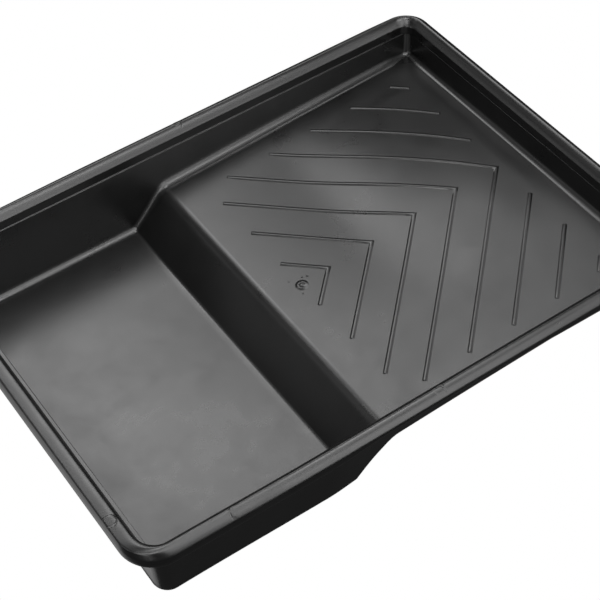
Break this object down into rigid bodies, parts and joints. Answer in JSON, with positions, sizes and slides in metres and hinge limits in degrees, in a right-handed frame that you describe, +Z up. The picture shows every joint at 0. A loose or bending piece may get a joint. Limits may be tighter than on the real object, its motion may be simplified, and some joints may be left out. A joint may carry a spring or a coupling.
{
  "type": "paint roller tray",
  "caption": "Shallow rectangular plastic tray with a deep paint well at one end, a sloping step, a chevron-ribbed ramp, a half-round rim and corner legs.",
  "frame": {"origin": "under the middle of the rim, on the plane the tray rests on", "axes": "+X from the well to the ramp end (longest), +Y across the tray, +Z up (shortest)"},
  "size_m": [0.3828, 0.28, 0.0612],
  "materials": {
    "black_plastic": "satin black moulded polypropylene"
  },
  "bodies": {
    "root": {"well_pan": "black_plastic", "step_wall": "black_plastic", "ramp_pan": "black_plastic", "rim_bead": "black_plastic", "chevron_ribs": "black_plastic", "gate_vestige": "black_plastic", "ramp_leg_far": "black_plastic", "ramp_leg_near": "black_plastic"}
  },
  "joints": []
}
